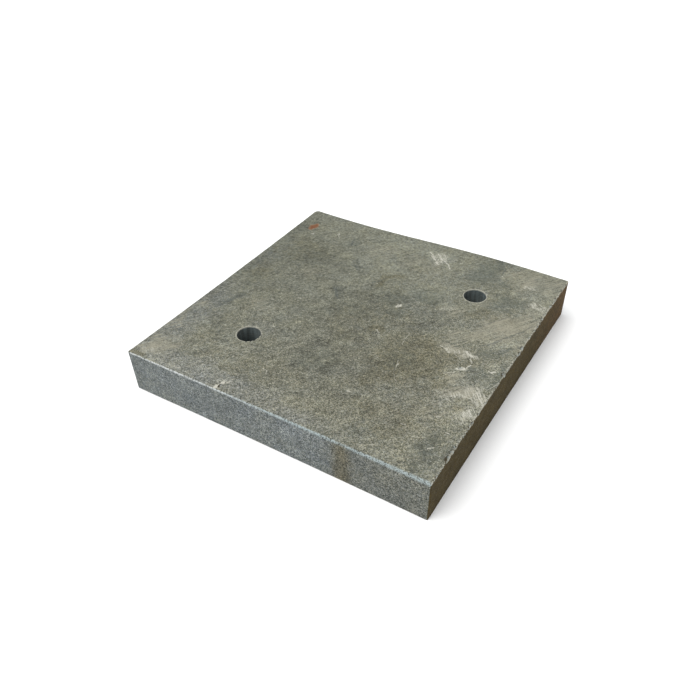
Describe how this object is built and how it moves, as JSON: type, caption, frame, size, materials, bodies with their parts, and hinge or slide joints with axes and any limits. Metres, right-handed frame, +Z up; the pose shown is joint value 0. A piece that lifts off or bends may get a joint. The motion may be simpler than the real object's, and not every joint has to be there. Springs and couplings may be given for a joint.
{
  "type": "drilled granite slab",
  "caption": "Flat square slab of dark grey granite with bolt holes drilled right through on one diagonal, a firm work surface for tooling and punching leather.",
  "frame": {"origin": "middle of the underside, where the slab rests", "axes": "+X along the eased front edge, +Y from that edge towards the back, +Z up through the thickness"},
  "size_m": [0.22, 0.22, 0.03],
  "materials": {
    "granite": "honed top with scuffs and oily stains, sawn sides, one eased edge"
  },
  "bodies": {
    "root": {"granite_slab": "granite"}
  },
  "joints": []
}
